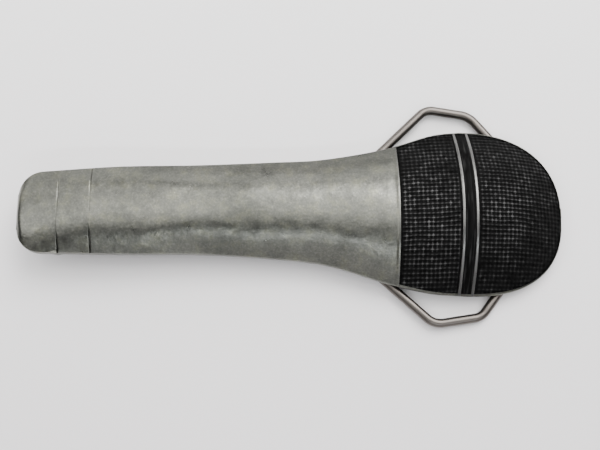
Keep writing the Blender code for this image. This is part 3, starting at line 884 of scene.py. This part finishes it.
def pewter():
    made, tree, shader = new_material("pewter", 1.0, 0.4)
    cloud_stops = [(0.3, (0.109, 0.112, 0.098)), (0.7, (0.150, 0.152, 0.133))]
    cloud = ramp(tree, noise_at(tree, 90.0, 4.0), cloud_stops)
    speck = ramp(tree, noise_at(tree, 2100.0, 3.0, 0.6), [(0.36, 0.84), (0.56, 1.0), (0.70, 1.22)])
    blotch_stops = [(0.34, (0.86, 0.86, 0.88)), (0.52, 1.0), (0.68, (1.16, 1.155, 1.06))]
    blotch = ramp(tree, noise_at(tree, 380.0, 3.0, 0.6), blotch_stops)
    body = mix(tree, 1.0, cloud, speck, "MULTIPLY")
    body = mix(tree, 1.0, body, blotch, "MULTIPLY")
    body = mix(tree, attribute(tree, "wear_and_painted_sheen"), body, (0.14, 0.14, 0.136))
    # painted shade in the engraved lines and the recess
    body = mix(tree, attribute(tree, "painted_groove_shade"), body, (0.02, 0.02, 0.019))
    tree.links.new(body, shader.inputs["Base Color"])
    rough = ramp(tree, noise_at(tree, 420.0, 3.0), [(0.3, 0.27), (0.7, 0.38)])
    tree.links.new(rough, shader.inputs["Roughness"])
    grain = noise_at(tree, 2600.0, 4.0, 0.65)
    hammer = noise_at(tree, 620.0, 2.0, 0.5)
    bump(tree, shader, [(hammer, 0.4, 0.00014), (grain, 0.28, 0.00005)])
    return made


def enamel(name, wear_colour, rough_low, rough_high, streak):
    made, tree, shader = new_material(name, 0.0, 0.4)
    shader.inputs["Specular IOR Level"].default_value = 0.013
    base = ramp(tree, noise_at(tree, 900.0, 3.0, 0.6, streak), [(0.35, 0.002), (0.7, 0.006)])
    colour = mix(tree, attribute(tree, "wear"), base, wear_colour)
    tree.links.new(colour, shader.inputs["Base Color"])
    rough = ramp(tree, noise_at(tree, 700.0, 3.0, 0.6, streak), [(0.3, rough_low), (0.7, rough_high)])
    tree.links.new(rough, shader.inputs["Roughness"])
    metal = ramp(tree, attribute(tree, "wear"), [(0.25, 0.0), (0.8, 0.4)])
    tree.links.new(metal, shader.inputs["Metallic"])
    bump(tree, shader, [(noise_at(tree, 2400.0, 3.0, 0.6, streak), 0.35, 0.00005)])
    return made


def steel(name, low, high, roughness, stretch, grain_scale, painted_sheen_colour=None):
    made, tree, shader = new_material(name, 1.0, roughness)
    tone = ramp(tree, noise_at(tree, grain_scale, 4.0, 0.6, stretch), [(0.3, low), (0.7, high)])
    # painted sheen: where the attribute is high, the tone is drawn lighter as a painted highlight
    if painted_sheen_colour:
        tone = mix(tree, attribute(tree, "wear_and_painted_sheen"), tone, painted_sheen_colour)
    tree.links.new(tone, shader.inputs["Base Color"])
    bump(tree, shader, [(noise_at(tree, grain_scale * 2.0, 3.0, 0.6, stretch), 0.2, 0.00003)])
    return made


def table_top():
    """Pale table with painted light falloff: its colour is drawn a little lighter on its far side and
    darker on its near side, as painted light and shade.
    """
    made, tree, shader = new_material("table_top", 0.0, 0.75)
    place = tree.nodes.new("ShaderNodeTexCoord")
    axes = tree.nodes.new("ShaderNodeSeparateXYZ")
    tree.links.new(place.outputs["Object"], axes.inputs["Vector"])
    span = add_node(tree, "ShaderNodeMapRange")
    span.inputs["From Min"].default_value = -TABLE_PAINTED_FALLOFF
    span.inputs["From Max"].default_value = TABLE_PAINTED_FALLOFF
    tree.links.new(axes.outputs["Y"], span.inputs["Value"])
    # painted light and shade: lighter towards the far side, darker towards the near side
    painted_falloff_stops = [(0.0, (0.73, 0.708, 0.72)), (0.5, (0.83, 0.815, 0.82)), (1.0, (0.97, 0.97, 0.97))]
    painted_light_falloff = ramp(tree, span.outputs["Result"], painted_falloff_stops)
    cloudy = ramp(tree, noise_at(tree, 7.0, 2.0), [(0.35, 0.0), (0.65, 0.05)])
    tone = mix(tree, cloudy, painted_light_falloff, (0.93, 0.92, 0.93))
    tree.links.new(tone, shader.inputs["Base Color"])
    return made


# ---------------------------------------------------------------- stage

CAMERA_LENS = 48.06
CAMERA_LEAN = 10.75  # degrees off the vertical
CAMERA_DISTANCE = 178.0
CAMERA_AIM = (2.333, -2.0, 0.0)


def floor():
    mesh = bpy.data.meshes.new("table")
    reach = 2.5
    corners = [(-reach, -reach, 0), (reach, -reach, 0), (reach, reach, 0), (-reach, reach, 0)]
    mesh.from_pydata(corners, [], [(0, 1, 2, 3)])
    mesh.materials.append(table_top())
    made = bpy.data.objects.new("table", mesh)
    bpy.context.scene.collection.objects.link(made)


def softbox(name, tilt, turn, distance, width, length, power, colour, shift=0.0):
    """An area light aimed at the buckle.

    It stands tilt degrees off the vertical, at a bearing of turn degrees from +y towards -x. Sizes are in
    metres and power in watts, and shift moves it sideways, along +x at a bearing of 0.
    """
    light = bpy.data.lights.new(name, "AREA")
    light.shape = "RECTANGLE"
    light.size = length
    light.size_y = width
    light.energy = power
    light.color = colour
    made = bpy.data.objects.new(name, light)
    bpy.context.scene.collection.objects.link(made)
    aim = Matrix.Rotation(math.radians(turn), 4, "Z") @ Matrix.Rotation(math.radians(-tilt), 4, "X")
    made.matrix_world = aim @ Matrix.Translation((shift, 0.0, distance))
    made.visible_camera = False


def world_light(strength):
    world = bpy.data.worlds.new("studio")
    bpy.context.scene.world = world
    world.use_nodes = True
    background = world.node_tree.nodes["Background"]
    background.inputs["Color"].default_value = (0.93, 0.95, 1.0, 1.0)
    background.inputs["Strength"].default_value = strength


def camera():
    """Close above the buckle, a little off the vertical towards -y."""
    data = bpy.data.cameras.new("camera")
    data.lens = CAMERA_LENS
    data.sensor_width = 36.0
    data.clip_start = 0.01
    made = bpy.data.objects.new("camera", data)
    bpy.context.scene.collection.objects.link(made)
    lean = math.radians(CAMERA_LEAN)
    back = CAMERA_DISTANCE * Vector((0.0, -math.sin(lean), math.cos(lean)))
    spot = (Vector(CAMERA_AIM) + back) * MM
    made.matrix_world = PLACE @ Matrix.Translation(spot) @ Matrix.Rotation(lean, 4, "X")
    bpy.context.scene.camera = made


# ---------------------------------------------------------------- assembly


def place_piece(piece, body, slot, *nodes):
    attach(piece, body)
    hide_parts(*nodes)


def build():
    black = enamel("black_enamel", (0.125, 0.125, 0.125), 0.32, 0.5, (1.0, 1.0, 1.0))
    brushed_black = enamel("brushed_enamel", (0.16, 0.16, 0.16), 0.3, 0.5, (1.6, 0.12, 1.0))
    plate_steel = steel("plate_steel", (0.34, 0.33, 0.31), (0.5, 0.49, 0.47), 0.38, (0.3, 2.0, 1.0), 900.0)
    stud_steel = steel("stud_steel", (0.44, 0.43, 0.41), (0.58, 0.57, 0.55), 0.28, (0.2, 0.2, 3.0), 1200.0)
    # The wire's very dark base tone is painted shade for its sides and inner side; its lighter colour is a
    # painted highlight for its top and outer side.
    wire_steel = steel(
        "wire_steel", (0.028, 0.025, 0.023), (0.05, 0.045, 0.041), 0.36, (0.4, 0.4, 1.0), 1300.0,
        (0.125, 0.113, 0.103),
    )
    place_piece(casting(pewter()), "buckle", "pewter", "body_casting")
    # Each field runs on under the rings by EDGE_LAP.
    rings_low = [ring - RING_WIDTH / 2 + EDGE_LAP for ring in RING_X]
    rings_high = [ring + RING_WIDTH / 2 - EDGE_LAP for ring in RING_X]
    rear_wear = (29.0, -1.5, 7.0, 10.0, 0.26)
    rear = grille("rear_grille", MOUTH_X + EDGE_LAP, rings_low[0], REAR_PITCH, 41, rear_wear, black)
    place_piece(rear, "buckle", "black_enamel", "rear_grille_enamel")
    middle_band = band("smooth_band", rings_high[0], rings_low[1], brushed_black)
    place_piece(middle_band, "buckle", "black_enamel", "band_enamel")
    front_wear = (46.0, 1.0, 6.0, 9.0, 0.22)
    front = grille("front_grille", rings_high[1], RECESS_TIP - 0.03, FRONT_PITCH, 61, front_wear, black)
    place_piece(front, "buckle", "black_enamel", "front_grille_enamel")
    place_piece(hinge_plate(plate_steel), "buckle", "plate_steel", "hinge_plate")
    rear_rivet = rivet("domed_rivet_rear", HINGE_X - RIVET_OFFSET, plate_steel)
    place_piece(rear_rivet, "buckle", "plate_steel", "hinge_rivet_rear")
    front_rivet = rivet("domed_rivet_front", HINGE_X + RIVET_OFFSET, plate_steel)
    place_piece(front_rivet, "buckle", "plate_steel", "hinge_rivet_front")
    place_piece(stud(stud_steel), "buckle", "stud_steel", "belt_stud")
    place_piece(bail(wire_steel), "loop", "wire_steel", "bail")


build()
floor()
softbox("key_light", 27.0, 0.0, 0.75, 0.55, 1.2, 5.2, (1.0, 0.99, 0.975), 0.2)
softbox("ceiling_light", 1.5, 0.0, 0.75, 0.42, 1.2, 3.5, (1.0, 0.995, 0.985), 0.18)
softbox("right_light", 42.0, -32.0, 0.8, 0.5, 0.6, 8.4, (1.0, 0.985, 0.98))
softbox("window_light", 61.0, 50.0, 0.8, 0.42, 0.5, 1.5, (1.0, 0.985, 0.98))
softbox("back_light", 68.0, 0.0, 0.8, 0.25, 1.0, 2.4, (1.0, 0.99, 0.99))
softbox("tail_light", 40.0, 98.0, 0.8, 0.4, 0.4, 2.1, (1.0, 0.985, 0.985))
softbox("low_light", -40.0, 0.0, 0.75, 0.07, 0.6, 1.8, (0.94, 0.97, 1.0), 0.17)
softbox("front_fill", -62.0, 0.0, 0.8, 0.25, 1.0, 1.1, (1.0, 0.98, 1.0))
world_light(0.06)
camera()
